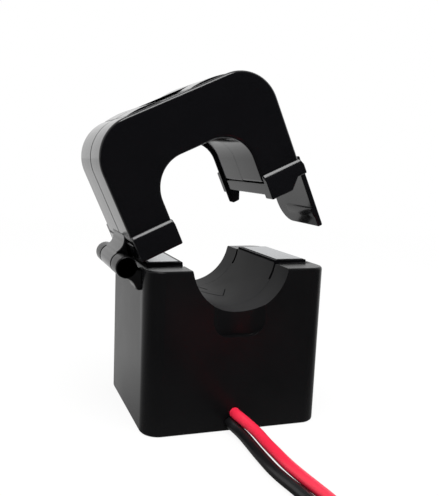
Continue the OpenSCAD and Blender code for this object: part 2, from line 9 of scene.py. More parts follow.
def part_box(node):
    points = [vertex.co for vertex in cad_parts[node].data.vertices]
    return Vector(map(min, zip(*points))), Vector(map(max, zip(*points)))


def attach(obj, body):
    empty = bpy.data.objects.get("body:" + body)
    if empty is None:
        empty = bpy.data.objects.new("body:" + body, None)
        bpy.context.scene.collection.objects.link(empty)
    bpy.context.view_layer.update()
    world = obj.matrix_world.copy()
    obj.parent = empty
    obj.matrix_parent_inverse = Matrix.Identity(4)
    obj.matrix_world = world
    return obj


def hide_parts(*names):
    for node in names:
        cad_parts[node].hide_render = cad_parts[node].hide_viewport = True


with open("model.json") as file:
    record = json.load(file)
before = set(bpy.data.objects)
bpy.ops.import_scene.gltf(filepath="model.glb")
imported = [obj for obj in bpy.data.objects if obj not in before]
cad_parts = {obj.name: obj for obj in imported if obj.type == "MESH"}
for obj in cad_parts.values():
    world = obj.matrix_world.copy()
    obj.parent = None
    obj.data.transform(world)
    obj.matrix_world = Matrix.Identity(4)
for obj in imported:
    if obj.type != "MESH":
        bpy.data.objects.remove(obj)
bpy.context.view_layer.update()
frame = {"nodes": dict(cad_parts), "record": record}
bpy.context.scene.view_settings.view_transform = "Standard"
mm = 0.001
nodes = frame["nodes"]
print("frame loaded:", len(nodes), "nodes")


def linear(hexColour):  # sRGB hex to linear RGBA
    parts = [int(hexColour[i:i + 2], 16) / 255 for i in (1, 3, 5)]
    return [p / 12.92 if p <= 0.04045 else ((p + 0.055) / 1.055) ** 2.4 for p in parts] + [1.0]


def addNode(tree, kind, settings=None, inputs=None, links=None):
    node = tree.nodes.new(kind)
    for name, value in (settings or {}).items():
        setattr(node, name, value)
    for key, value in (inputs or {}).items():
        node.inputs[key].default_value = value
    for key, source in (links or {}).items():
        tree.links.new(source, node.inputs[key])
    return node


def startMaterial(name):
    material = bpy.data.materials.new(name)
    material.use_nodes = True
    tree = material.node_tree
    tree.nodes.clear()
    shader = addNode(tree, "ShaderNodeBsdfPrincipled")
    addNode(tree, "ShaderNodeOutputMaterial", links={"Surface": shader.outputs["BSDF"]})
    place = addNode(tree, "ShaderNodeTexCoord").outputs["Object"]
    return material, tree, shader, place


view = {  # place, focal length and sensor in mm, angles in degrees, clip in metres
    "place": (-56.592, -140.730, 63.799),
    "yaw": 15.723, "down": 8.655, "roll": -1.529,
    "focal": 42.844, "sensor": 36.0, "shift": 0.1401, "clip": (0.005, 5),
}


def makeCamera():
    yaw, down, roll = (math.radians(view[k]) for k in ("yaw", "down", "roll"))
    ahead = Vector((math.sin(yaw) * math.cos(down), math.cos(yaw) * math.cos(down),
                    -math.sin(down)))
    right = Vector((math.cos(yaw), -math.sin(yaw), 0))
    below = ahead.cross(right)
    across = right * math.cos(roll) + below * math.sin(roll)
    under = below * math.cos(roll) - right * math.sin(roll)
    data = bpy.data.cameras.new("camera")
    data.lens, data.sensor_width, data.shift_x = view["focal"], view["sensor"], view["shift"]
    data.clip_start, data.clip_end = view["clip"]
    camera = bpy.data.objects.new("camera", data)
    camera.matrix_world = Matrix.Translation(Vector(view["place"]) * mm) @ Matrix(
        (across, -under, -ahead)).transposed().to_4x4()
    bpy.context.scene.collection.objects.link(camera)
    bpy.context.scene.camera = camera


makeCamera()
print("camera set")


def twoTones(tree, shader, factor, hexColour, share):  # the colour wanders to a share of itself
    tone = addNode(tree, "ShaderNodeMix", {"data_type": "RGBA"}, links={"Factor": factor})
    first, second = (socket for socket in tone.inputs if socket.type == "RGBA")
    first.default_value = linear(hexColour)
    second.default_value = [c * share for c in linear(hexColour)[:3]] + [1.0]
    result = next(socket for socket in tone.outputs if socket.type == "RGBA")
    tree.links.new(result, shader.inputs["Base Color"])


absSkin = {  # cloud, pits, depth and edge in mm; real spark-eroded pits are finer than these
    "cloud": 9.0, "lighter": 1.5, "smoother": 0.05, "rougher": 0.07,
    "pits": 0.3, "depth": 0.02, "strength": 0.05, "edge": 0.2,
}


def mouldedBlack(name, hexColour="#08080a", rough=0.17, gloss=0.16):
    # injection-moulded flame-retardant ABS: near black, satin, bright only at a slant
    material, tree, shader, place = startMaterial(name)
    shader.inputs["Specular IOR Level"].default_value = gloss
    cloud = addNode(tree, "ShaderNodeTexNoise",
                    inputs={"Scale": 1 / (absSkin["cloud"] * mm), "Detail": 3.0},
                    links={"Vector": place}).outputs["Fac"]
    twoTones(tree, shader, cloud, hexColour, absSkin["lighter"])
    smear = addNode(tree, "ShaderNodeMapRange",
                    inputs={"To Min": rough - absSkin["smoother"],
                            "To Max": rough + absSkin["rougher"]},
                    links={"Value": cloud})
    tree.links.new(smear.outputs["Result"], shader.inputs["Roughness"])
    pits = addNode(tree, "ShaderNodeTexNoise",
                   inputs={"Scale": 1 / (absSkin["pits"] * mm), "Detail": 2.0},
                   links={"Vector": place})
    rounded = addNode(tree, "ShaderNodeBevel", {"samples": 4}, {"Radius": absSkin["edge"] * mm})
    skin = addNode(tree, "ShaderNodeBump",
                   inputs={"Strength": absSkin["strength"], "Distance": absSkin["depth"] * mm},
                   links={"Height": pits.outputs["Fac"], "Normal": rounded.outputs["Normal"]})
    tree.links.new(skin.outputs["Normal"], shader.inputs["Normal"])
    return material


pvcSkin = {"smear": 4.0, "spread": 0.08, "depth": 0.05, "strength": 0.15}  # sizes in mm


def pvcInsulation(name, hexColour, rough=0.36):
    # extruded soft PVC: even, full colour under a satin skin with faint smears from handling
    material, tree, shader, place = startMaterial(name)
    shader.inputs["Base Color"].default_value = linear(hexColour)
    smear = addNode(tree, "ShaderNodeTexNoise",
                    inputs={"Scale": 1 / (pvcSkin["smear"] * mm), "Detail": 2.0},
                    links={"Vector": place}).outputs["Fac"]
    spread = addNode(tree, "ShaderNodeMapRange",
                     inputs={"To Min": rough - pvcSkin["spread"],
                             "To Max": rough + pvcSkin["spread"]},
                     links={"Value": smear})
    tree.links.new(spread.outputs["Result"], shader.inputs["Roughness"])
    skin = addNode(tree, "ShaderNodeBump",
                   inputs={"Strength": pvcSkin["strength"], "Distance": pvcSkin["depth"] * mm},
                   links={"Height": smear})
    tree.links.new(skin.outputs["Normal"], shader.inputs["Normal"])
    return material


steelSkin = {  # sheets' pitch, scratch and depth in mm; phase is the wave texture's own factor
    "pitch": 0.3, "phase": 20, "waver": 0.4, "darker": 0.8,
    "scratch": 0.4, "smoother": 0.08, "rougher": 0.12, "depth": 0.01, "strength": 0.2,
}


def groundSteel(name, hexColour="#b9bbbd", rough=0.28):
    # ground ends of silicon-steel laminations: bright grey with fine dark lines between sheets
    material, tree, shader, place = startMaterial(name)
    shader.inputs["Metallic"].default_value = 1.0
    turned = addNode(tree, "ShaderNodeMapping", inputs={"Rotation": (0, 0, math.radians(90))},
                     links={"Vector": place})
    sheets = addNode(tree, "ShaderNodeTexWave", {"bands_direction": "X"},
                     {"Scale": 2 * math.pi / (steelSkin["phase"] * steelSkin["pitch"] * mm),
                      "Distortion": steelSkin["waver"], "Detail": 2.0},
                     {"Vector": turned.outputs["Vector"]}).outputs["Fac"]
    twoTones(tree, shader, sheets, hexColour, steelSkin["darker"])
    scratch = addNode(tree, "ShaderNodeTexNoise",
                      inputs={"Scale": 1 / (steelSkin["scratch"] * mm), "Detail": 4.0},
                      links={"Vector": place})
    spread = addNode(tree, "ShaderNodeMapRange",
                     inputs={"To Min": rough - steelSkin["smoother"],
                             "To Max": rough + steelSkin["rougher"]},
                     links={"Value": scratch.outputs["Fac"]})
    tree.links.new(spread.outputs["Result"], shader.inputs["Roughness"])
    skin = addNode(tree, "ShaderNodeBump",
                   inputs={"Strength": steelSkin["strength"], "Distance": steelSkin["depth"] * mm},
                   links={"Height": sheets})
    tree.links.new(skin.outputs["Normal"], shader.inputs["Normal"])
    return material


plainSkin = {"darker": 0.72, "strength": 0.25}


def plainFinish(name, hexColour, rough, metal, grain, depth):
    # one colour that darkens a little in its grain; grain and depth in mm
    material, tree, shader, place = startMaterial(name)
    shader.inputs["Metallic"].default_value = metal
    shader.inputs["Roughness"].default_value = rough
    mottle = addNode(tree, "ShaderNodeTexNoise",
                     inputs={"Scale": 1 / (grain * mm), "Detail": 3.0},
                     links={"Vector": place}).outputs["Fac"]
    twoTones(tree, shader, mottle, hexColour, plainSkin["darker"])
    skin = addNode(tree, "ShaderNodeBump",
                   inputs={"Strength": plainSkin["strength"], "Distance": depth * mm},
                   links={"Height": mottle})
    tree.links.new(skin.outputs["Normal"], shader.inputs["Normal"])
    return material


# satin case, polished jaw that mirrors what is behind it, greyer textured saddle, dead matt rims
caseAbs = mouldedBlack("abs_moulded_black", "#0c0c0d", rough=0.22, gloss=0.1)
jawAbs = mouldedBlack("abs_polished_black", rough=0.11, gloss=0.32)
saddleAbs = mouldedBlack("abs_textured_black", rough=0.5)
rimAbs = mouldedBlack("abs_ground_black", rough=0.8, gloss=0.02)  # ground with the pole faces
coreSteel = groundSteel("silicon_steel_ground")
redPvc = pvcInsulation("pvc_extruded_red", "#ee2a47")
blackPvc = pvcInsulation("pvc_extruded_black", "#101012")
# bare metals: a dull drawn pin, a brighter rolled spring, soft grey solder, warm copper
pinSteel = plainFinish("steel_drawn_pin", "#9c9ea2", 0.42, 1.0, 0.2, 0.01)
springSteel = plainFinish("spring_steel_rolled", "#9a9ca0", 0.32, 1.0, 0.4, 0.01)
tinnedCopper = plainFinish("copper_solder_tinned", "#c4c4bd", 0.34, 1.0, 0.5, 0.03)
windingCopper = plainFinish("copper_enamelled_wound", "#b5622f", 0.3, 1.0, 0.25, 0.05)
# plastics: satin nylon, glossy amber film, glassy dark resin, dull rubber and shrunk sleeve
tieNylon = plainFinish("nylon_moulded_black", "#1a1a1c", 0.5, 0.0, 0.3, 0.01)
formerNylon = plainFinish("nylon_moulded_natural", "#ddd6bf", 0.5, 0.0, 0.4, 0.01)
polyesterTape = plainFinish("polyester_tape_wound", "#d19a2a", 0.25, 0.0, 1.5, 0.03)
pottingResin = plainFinish("polyurethane_cast", "#2e241c", 0.35, 0.0, 1.2, 0.05)
clampRubber = plainFinish("rubber_moulded", "#202022", 0.7, 0.0, 0.3, 0.02)
sleeveFilm = plainFinish("polyolefin_shrunk", "#18181a", 0.45, 0.0, 0.8, 0.03)

finishes = {
    "case_plastic": caseAbs, "core_steel": coreSteel, "former_nylon": formerNylon,
    "copper": windingCopper, "polyester_tape": polyesterTape, "potting_resin": pottingResin,
    "clamp_rubber": clampRubber, "red_pvc": redPvc, "black_pvc": blackPvc,
    "shrink_sleeve": sleeveFilm, "pin_steel": pinSteel, "spring_steel": springSteel,
    "tinned_copper": tinnedCopper, "tie_nylon": tieNylon,
}
slotOf = {part["node"]: part["material_slot"] for part in frame["record"]["subparts"]}
for name, slot in slotOf.items():
    nodes[name].data.materials.clear()
    nodes[name].data.materials.append(finishes[slot])
print("materials made:", len(finishes))


def settle(piece):  # the modifiers' result as a plain mesh
    ready = piece.evaluated_get(bpy.context.evaluated_depsgraph_get())
    mesh = bpy.data.meshes.new_from_object(ready)
    piece.modifiers.clear()
    piece.data = mesh


def makePiece(name, bm, material, body):
    mesh = bpy.data.meshes.new(name)
    bm.to_mesh(mesh)
    bm.free()
    mesh.materials.append(material)
    piece = bpy.data.objects.new(name, mesh)
    bpy.context.scene.collection.objects.link(piece)
    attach(piece, body)
    return piece


strand = {  # tinned seven-strand wire, sizes in mm
    "outer": 6, "dia": 0.52, "turns": 0.9, "sides": 8, "steps": 24, "inSheath": 1.0,
}


def twistedStrands():  # a straight core strand with a helix of strands laid round it
    tree = bpy.data.node_groups.new("twistedStrands", "GeometryNodeTree")
    for name, kind in (("Length", "NodeSocketFloat"), ("Lay Radius", "NodeSocketFloat"),
                       ("Strand Radius", "NodeSocketFloat"), ("Turns", "NodeSocketFloat"),
                       ("Outer Strands", "NodeSocketInt"), ("Sides", "NodeSocketInt"),
                       ("Steps", "NodeSocketInt"), ("Material", "NodeSocketMaterial")):
        tree.interface.new_socket(name, in_out="INPUT", socket_type=kind)
    tree.interface.new_socket("Geometry", in_out="OUTPUT", socket_type="NodeSocketGeometry")
    given = addNode(tree, "NodeGroupInput").outputs
    profile = addNode(tree, "GeometryNodeCurvePrimitiveCircle",
                      links={"Resolution": given["Sides"], "Radius": given["Strand Radius"]})
    helix = addNode(tree, "GeometryNodeCurveSpiral",
                    links={"Resolution": given["Steps"], "Rotations": given["Turns"],
                           "Start Radius": given["Lay Radius"], "End Radius": given["Lay Radius"],
                           "Height": given["Length"]})
    outer = addNode(tree, "GeometryNodeCurveToMesh", inputs={"Fill Caps": True},
                    links={"Curve": helix.outputs["Curve"],
                           "Profile Curve": profile.outputs["Curve"]})
    top = addNode(tree, "ShaderNodeCombineXYZ", links={"Z": given["Length"]})
    middle = addNode(tree, "GeometryNodeCurvePrimitiveLine", links={"End": top.outputs["Vector"]})
    core = addNode(tree, "GeometryNodeCurveToMesh", inputs={"Fill Caps": True},
                   links={"Curve": middle.outputs["Curve"],
                          "Profile Curve": profile.outputs["Curve"]})
    spots = addNode(tree, "GeometryNodePoints", links={"Count": given["Outer Strands"]})
    share = addNode(tree, "ShaderNodeMath", {"operation": "DIVIDE"}, {0: 2 * math.pi},
                    {1: given["Outer Strands"]})
    number = addNode(tree, "GeometryNodeInputIndex")
    turned = addNode(tree, "ShaderNodeMath", {"operation": "MULTIPLY"},
                     links={0: number.outputs["Index"], 1: share.outputs["Value"]})
    spin = addNode(tree, "ShaderNodeCombineXYZ", links={"Z": turned.outputs["Value"]})
    ring = addNode(tree, "GeometryNodeInstanceOnPoints",
                   links={"Points": spots.outputs["Points"], "Instance": outer.outputs["Mesh"],
                          "Rotation": spin.outputs["Vector"]})
    join = addNode(tree, "GeometryNodeJoinGeometry")
    for made in (ring.outputs["Instances"], core.outputs["Mesh"]):
        tree.links.new(made, join.inputs["Geometry"])
    real = addNode(tree, "GeometryNodeRealizeInstances",
                   links={"Geometry": join.outputs["Geometry"]})
    smooth = addNode(tree, "GeometryNodeSetShadeSmooth",
                     links={"Geometry": real.outputs["Geometry"]})
    finish = addNode(tree, "GeometryNodeSetMaterial",
                     links={"Geometry": smooth.outputs["Geometry"], "Material": given["Material"]})
    addNode(tree, "NodeGroupOutput", links={"Geometry": finish.outputs["Geometry"]})
    return tree


strandTree = twistedStrands()


def makeStrands(node, start, ahead, length):
    piece = makePiece(node + "_strands", bmesh.new(), tinnedCopper, "base")
    laid = piece.modifiers.new("strands", "NODES")
    laid.node_group = strandTree
    values = {"Length": length * mm, "Lay Radius": strand["dia"] * mm,
              "Strand Radius": strand["dia"] / 2 * mm, "Turns": strand["turns"],
              "Outer Strands": strand["outer"], "Sides": strand["sides"],
              "Steps": strand["steps"], "Material": tinnedCopper}
    for item in strandTree.interface.items_tree:
        if item.in_out == "INPUT":
            laid[item.identifier] = values[item.name]
    settle(piece)
    turned = Vector((0, 0, 1)).rotation_difference(ahead).to_matrix().to_4x4()
    piece.data.transform(Matrix.Translation(start * mm) @ turned)
    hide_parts(node)
    return piece


tieHead = {  # mm; sunk is how deep the head sits in the tie, level the tail's share of its height
    "along": 4.2, "across": 4.6, "high": 2.4, "sunk": 0.2, "ease": 0.4, "rounds": 2,
    "tail": 6.5, "tailWide": 3.0, "tailThick": 1.0, "level": 0.55,
}


def makeTieHead(node, outward):  # the ratchet head and cut tail on top of a coil's tie
    low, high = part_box(node)
    centre = Vector(((low.x + high.x) / 2, (low.y + high.y) / 2, high.z)) / mm
    bm = bmesh.new()
    for size, shift in (((tieHead["along"], tieHead["across"], tieHead["high"]),
                         (0, 0, tieHead["high"] / 2 - tieHead["sunk"])),
                        ((tieHead["tail"], tieHead["tailWide"], tieHead["tailThick"]),
                         (tieHead["tail"] / 2, 0, tieHead["high"] * tieHead["level"]))):
        made = bmesh.ops.create_cube(bm, size=1)["verts"]
        bmesh.ops.scale(bm, vec=size, verts=made)
        bmesh.ops.translate(bm, vec=shift, verts=made)
    turned = Matrix.Rotation(outward, 4, "Z")
    bmesh.ops.transform(bm, matrix=Matrix.Scale(mm, 4) @ Matrix.Translation(centre) @ turned,
                        verts=bm.verts)
    piece = makePiece(node + "_head", bm, tieNylon, "base")
    eased = piece.modifiers.new("ease", "BEVEL")
    eased.width, eased.segments = tieHead["ease"] * mm, tieHead["rounds"]
    settle(piece)
    return piece


lead = {  # sizes in mm, the length in metres
    "dia": 2.6, "length": 1.0, "columns": 4, "layers": 3, "middle": 13.2,
    "stepEnd": 32.0, "step": 60.0, "rise": 40.0,  # degrees in which a turn changes column or layer
    "tipAngle": 330.0, "tipLength": 6.0,
    "gap": 1.2, "coilGap": 1.3, "joinSteps": 6, "rounds": 3,  # spacing of the cord's points
}
redLead = {
    "name": "red_lead_cord", "exit": (-0.2, 4.5), "turns": 1, "material": redPvc,
    "slot": "red_pvc",
    "route": [(0, 0, 0), (0.1, -1.5, 0), (0.7, -3.5, -0.3), (1.4, -6, -0.8), (1.9, -9, -1.2),
              (2, -12.5, -1.5), (2, -17, -1.5), (2.1, -22, -1.55), (2.6, -26, -1.7),
              (3.4, -30, -1.95), (4.3, -34, -2.3), (5, -38.5, -2.7), (5.6, -43.5, -3),
              (6, -47.5, -3.15), (6.1, -51.5, -3.2), (6.1, -56, -3.2)],
    "replaces": ("red_lead", "red_lead_coil"), "pieces": ("red_lead_end", "red_coil_tie"),
}
blackLead = {
    "name": "black_lead_cord", "exit": (-1.4, 2.15), "turns": -1, "material": blackPvc,
    "slot": "black_pvc",
    "route": [(0, 0, 0), (0.1, -1.5, 0), (0.6, -3.2, -0.3), (1, -5.5, -0.6), (1.1, -8.5, -0.8),
              (1, -12, -0.85), (0.9, -16, -0.85), (0.9, -20.5, -0.85), (1.3, -24.5, -0.85),
              (1.9, -28, -0.85), (2.4, -32, -0.85), (2.6, -36.5, -0.85), (2.7, -41.5, -0.85),
              (2.7, -46, -0.85), (2.7, -51, -0.85), (2.7, -56, -0.85)],
    "replaces": ("black_lead", "black_lead_coil"), "pieces": ("black_lead_end", "black_coil_tie"),
}


def throughPoints(points, gap):  # smooth line through the route's points, a point every gap
    line = []
    for i in range(len(points) - 1):
        a, b, c, d = (Vector(points[min(max(i + k, 0), len(points) - 1)]) for k in (-1, 0, 1, 2))
        count = max(2, round((c - b).length / gap))
        for k in range(count):
            t = k / count
            line.append(0.5 * (2 * b + (c - a) * t + (2 * a - 5 * b + 4 * c - d) * t * t
                               + (3 * b - a - 3 * c + d) * t ** 3))
    return line + [Vector(points[-1])]


def ease(t):  # from 0 to 1 with a soft start and end
    t = min(max(t, 0), 1)
    return t * t * (3 - 2 * t)


def coilLine(piece, centre):  # turns side by side and on each other, outside in and out again
    radii = [lead["middle"] + lead["dia"] * (k - (lead["columns"] - 1) / 2)
             for k in reversed(range(lead["columns"]))]
    stack = []
    for layer in range(lead["layers"]):
        row = radii if layer % 2 == 0 else radii[::-1]
        stack += [(r, lead["dia"] * (layer + 0.5)) for r in row]
    stack = stack[:lead["columns"] * lead["layers"] - 1]
    way = piece["turns"]  # 1 is anticlockwise from the left side, -1 clockwise from the right
    startAngle = 180.0 if way > 0 else 0.0
    tip = (lead["tipAngle"] - startAngle) * way % 360
    tip -= math.degrees(lead["tipLength"] / 2 / stack[-1][0])
    last = 360 * (len(stack) - 1) + tip
    stepEnd = 360 - lead["stepEnd"]
    line, angle = [], 0.0
    while angle < last:
        turn, along = divmod(angle, 360)
        turn = min(int(turn), len(stack) - 1)
        here = stack[turn]
        after = stack[min(turn + 1, len(stack) - 1)]
        stepped = ease((along - (stepEnd - lead["step"])) / lead["step"])
        risen = ease((along - (stepEnd - lead["step"] - lead["rise"])) / lead["rise"])
        r = here[0] + (after[0] - here[0]) * stepped
        z = here[1] + (after[1] - here[1]) * risen
        turned = math.radians(startAngle + way * angle)
        line.append(Vector((centre[0] + r * math.cos(turned),
                            centre[1] + r * math.sin(turned), z)))
        angle += math.degrees(lead["coilGap"] / r)
    return line


def makeLead(piece):
    across, up = piece["exit"]
    leaves = Vector((across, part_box("lower_case")[0][1] / mm, up))
    free = [leaves + Vector(p) for p in piece["route"]]
    outer = lead["middle"] + (lead["columns"] - 1) / 2 * lead["dia"]
    reach = math.sqrt((outer + lead["dia"] / 2) ** 2 - (outer - lead["dia"] / 2) ** 2)
    centre = (free[-1].x + piece["turns"] * outer, free[-1].y - reach)
    line = throughPoints(free, lead["gap"])
    line += [free[-1] - Vector((0, reach * k / lead["joinSteps"], 0))
             for k in range(1, lead["joinSteps"])]
    coil = coilLine(piece, centre)
    line += coil
    end, tie = piece["pieces"]
    ahead = (coil[-1] - coil[-3]).normalized()
    strands = makeStrands(end, coil[-1] - ahead * strand["inSheath"], ahead,
                          lead["tipLength"] + strand["inSheath"])
    tieLow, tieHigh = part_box(tie)
    away = (tieLow + tieHigh) / 2 / mm - Vector((*centre, 0))
    head = makeTieHead(tie, math.atan2(away.y, away.x))
    data = bpy.data.curves.new(piece["name"], "CURVE")
    data.dimensions, data.use_fill_caps, data.twist_mode = "3D", True, "MINIMUM"
    data.bevel_depth, data.bevel_resolution = lead["dia"] / 2 * mm, lead["rounds"]
    spline = data.splines.new("POLY")
    spline.points.add(len(line) - 1)
    for point, place in zip(spline.points, line):
        point.co = (*(place * mm), 1)
    spline.use_smooth = True
    data.materials.append(piece["material"])
    cord = bpy.data.objects.new(piece["name"], data)
    bpy.context.scene.collection.objects.link(cord)
    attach(cord, "base")
    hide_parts(*piece["replaces"])
    length = sum((b - a).length for a, b in zip(line, line[1:]))
    print(piece["name"], "length mm", round(length))
    return cord


makeLead(redLead)
makeLead(blackLead)


moulded = {  # eased radius in mm and its share along the seam; clear is the half width left crisp
    "jaw_front_shell": {"radius": 0.9, "seam": 0.1},
    "jaw_rear_shell": {"radius": 0.6, "seam": 0.15},
    "lower_case": {"radius": 0.6, "seam": 1.0, "clear": 12.6},
    "cradle": {"radius": 0.2, "seam": 1.0, "clear": 12.6},
    "hinge_pin": {"radius": 0.3, "seam": 1.0},
    "hinge_foot": {"radius": 0.35, "seam": 1.0, "chamfer": 1.1},
    "latch_foot": {"radius": 0.35, "seam": 1.0, "chamfer": 1.25},
}
easing = {  # angles in degrees, the rest in mm
    "sharpAngle": 30.0, "leastAngle": 50.0, "segments": 3, "merge": 0.002, "flat": 0.5,
    "floor": 0.1, "nearSeam": 0.7, "nearWindow": 0.3, "near": 0.05,
}
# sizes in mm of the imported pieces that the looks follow, the jaw's as it stands closed
bore = {"radius": 12.0, "axis": 40.8, "rim": 39.2, "near": 0.15}
tongue = {"inner": 23.0, "outerWall": 21.0, "hookTop": 29.2, "hookProud": 0.12}
window = {"half": 12.0, "top": 57.5, "shellFoot": 43.2, "corner": 8.0}
ribs = {"inner": 3.4, "wide": 9.0, "base": 70.0, "high": 0.5, "low": 0.06, "steps": 8,
        "end": 12.3, "shortest": 2.0}

behaviour = frame["record"]["behaviour"]
bodyOf = {name: body for body, names in behaviour["bodies"].items() for name in names}
hinge = behaviour["joints"][0]
openAngle = math.radians(-hinge["range_deg"][0])
hingePlace = Vector(hinge["pos_m"])
toClosed = (Matrix.Translation(hingePlace) @ Matrix.Rotation(openAngle, 4, "Y")
            @ Matrix.Translation(-hingePlace))
toOpen = toClosed.inverted()


def solidCopy(name):  # a merged copy of a node's triangles, flat faces in one piece
    bm = bmesh.new()
    bm.from_mesh(nodes[name].data)
    bmesh.ops.remove_doubles(bm, verts=bm.verts, dist=easing["merge"] * mm)
    bmesh.ops.dissolve_limit(bm, angle_limit=math.radians(easing["flat"]), verts=bm.verts,
                             edges=bm.edges, delimit={"NORMAL"})
    return bm


def weighEdges(bm, name, size):  # how far each edge is eased: 1 for the full radius
    weight = bm.edges.layers.float.new("bevel_weight_edge")
    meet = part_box(name)[1 if "front" in name else 0][1] if size["seam"] < 1 else None
    for edge in bm.edges:
        turn = math.degrees(edge.calc_face_angle(0))
        edge.smooth = turn < easing["sharpAngle"] or turn > easing["leastAngle"]
        if turn < easing["leastAngle"]:
            continue
        if not edge.is_convex:
            edge.smooth = False
            continue
        ends = [v.co for v in edge.verts]
        middle = (ends[0] + ends[1]) / 2 / mm
        if abs(middle.x) < size.get("clear", 0) and middle.z > easing["floor"]:
            edge.smooth = False  # the bore, the recess and the leads' outlets stay crisp
            continue
        if bodyOf[name] == "jaw" and all(
                (toClosed @ end).z > (ribs["base"] - easing["near"]) * mm
                and abs(end.y) < ribs["end"] * mm for end in ends):
            edge.smooth = False
            continue
        edge[weight] = 1.0
        if meet is not None and all(abs(end.y - meet) < easing["nearSeam"] * mm for end in ends):
            middle = toClosed @ ((ends[0] + ends[1]) / 2) / mm
            inside = (abs(middle.x) < window["half"] + easing["nearWindow"]
                      and middle.z < window["top"] + easing["nearWindow"])
            edge[weight] = 0.0 if inside else size["seam"]
            edge.smooth = not inside


def crownHeight(x):  # a grip rib's top is a shallow arc, lowest at its ends
    part = (abs(x) - ribs["inner"] - ribs["wide"] / 2) / (ribs["wide"] / 2)
    return ribs["base"] + ribs["low"] + (ribs["high"] - ribs["low"]) * max(0, 1 - part * part)


def crownRibs(bm):  # the flat ribs' tops are cut across and lifted to the arc
    level = (ribs["base"] + ribs["high"] - easing["near"]) * mm
    tops = [v for v in bm.verts if (toClosed @ v.co).z > level]
    long = [e for e in bm.edges if all(v in tops for v in e.verts)
            and abs(e.verts[0].co.x - e.verts[1].co.x) > ribs["shortest"] * mm]
    bmesh.ops.subdivide_edges(bm, edges=long, cuts=ribs["steps"] - 1, use_grid_fill=True)
    for v in bm.verts:
        place = toClosed @ v.co
        if place.z > level:
            place.z = crownHeight(place.x / mm) * mm
            v.co = toOpen @ place


def softenHook(bm):  # the catch is a low swell on the tongue's inner face
    for v in bm.verts:
        place = toClosed @ v.co / mm
        if (place.z < tongue["hookTop"]
                and tongue["outerWall"] < place.x < tongue["inner"] - easing["near"]):
            place.x = tongue["inner"] - tongue["hookProud"]
            v.co = toOpen @ (place * mm)


def chamferCollar(bm, name, width):  # a flat chamfer along the collar's upper front edge
    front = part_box(name)[0][1]
    near = easing["near"] * mm
    fronts = [v for v in bm.verts if abs(v.co.y - front) < near]
    top = max((toClosed @ v.co).z for v in fronts)
    edges = [e for e in bm.edges
             if all(v in fronts and top - (toClosed @ v.co).z < near for v in e.verts)]
    bmesh.ops.bevel(bm, geom=edges, offset=width * mm, offset_type="OFFSET", segments=1,
                    affect="EDGES", clamp_overlap=False)


def easeEdges(piece, radius):
    eased = piece.modifiers.new("ease", "BEVEL")
    eased.width, eased.segments = radius * mm, easing["segments"]
    eased.limit_method, eased.use_clamp_overlap = "WEIGHT", False
    piece.modifiers.new("flats", "WEIGHTED_NORMAL").keep_sharp = True
    settle(piece)


def makeMoulding(name, size):
    bm = solidCopy(name)
    if "shell" in name:
        crownRibs(bm)
    if name == "cradle":  # cut at the rims' foot, so that they can have their own finish
        bmesh.ops.bisect_plane(bm, geom=bm.verts[:] + bm.edges[:] + bm.faces[:], dist=0.0001 * mm,
                               plane_co=(0, 0, bore["rim"] * mm), plane_no=(0, 0, 1))
    if name == "latch_foot":
        softenHook(bm)
    if "chamfer" in size:
        chamferCollar(bm, name, size["chamfer"])
    for face in bm.faces:
        face.smooth = True
    weighEdges(bm, name, size)
    skin = {"cradle": saddleAbs, "hinge_pin": pinSteel}.get(
        name, jawAbs if bodyOf[name] == "jaw" else caseAbs)
    piece = makePiece(name + "_eased", bm, skin, bodyOf[name])
    easeEdges(piece, size["radius"])
    if name == "lower_case":  # the walls' arches continue the textured bore
        piece.data.materials.append(saddleAbs)
        for face in piece.data.polygons:
            out = math.hypot(face.center.x, face.center.z - bore["axis"] * mm) / mm
            face.material_index = int(abs(out - bore["radius"]) < bore["near"]
                                      and abs(face.normal.y) < 0.1)
    if name == "cradle":  # the sides of the rims are ground, their tops are not
        piece.data.materials.append(rimAbs)
        for face in piece.data.polygons:
            face.material_index = int(face.center.z > bore["rim"] * mm and face.normal.z < 0.9)
    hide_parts(name)
    return piece


arch = {"cornerSteps": 10, "rounds": 2, "angle": 40.0, "foot": 0.1}


def archLine(half, top, corner, feet):  # an outline from its left foot round to its right one
    line = [(-half, feet[0])]
    for side, start in ((-1, 180), (1, 90)):
        for k in range(arch["cornerSteps"] + 1):
            turned = math.radians(start - 90 * k / arch["cornerSteps"])
            line.append((side * (half - corner) + corner * math.cos(turned),
                         top - corner + corner * math.sin(turned)))
    return line + [(half, feet[1])]


def closeBand(bm, rows):  # walls between four rows of vertices, closed at both ends
    for a, b in zip(rows, rows[1:] + rows[:1]):
        for i in range(len(a) - 1):
            bm.faces.new((a[i], b[i], b[i + 1], a[i + 1]))
    for i in (0, -1):
        bm.faces.new([row[i] for row in rows])


def archRing(bm, outer, inner, front, back):  # a closed band between two outlines
    closeBand(bm, [[bm.verts.new(toOpen @ Vector((x * mm, y * mm, z * mm))) for x, z in line]
                   for line, y in ((outer, front), (outer, back),
                                   (inner, back), (inner, front))])


def finishRing(name, bm, radius):
    bmesh.ops.recalc_face_normals(bm, faces=bm.faces)
    piece = makePiece(name, bm, jawAbs, "jaw")
    eased = piece.modifiers.new("ease", "BEVEL")
    eased.width, eased.segments = radius * mm, arch["rounds"]
    eased.angle_limit = math.radians(arch["angle"])
    settle(piece)
    return piece


# mm; front and back are places along Y, as the shells have them
lip = {"proud": 0.7, "inWall": 0.15, "front": 11.0, "back": 11.5, "tip": 36.3, "bevel": 0.6,
       "ease": 0.12}
seam = {"front": -1.93, "back": -1.29, "half": 22.5, "corner": 9.5, "under": 0.12, "deep": 0.5,
        "underRib": 0.1, "ease": 0.05}


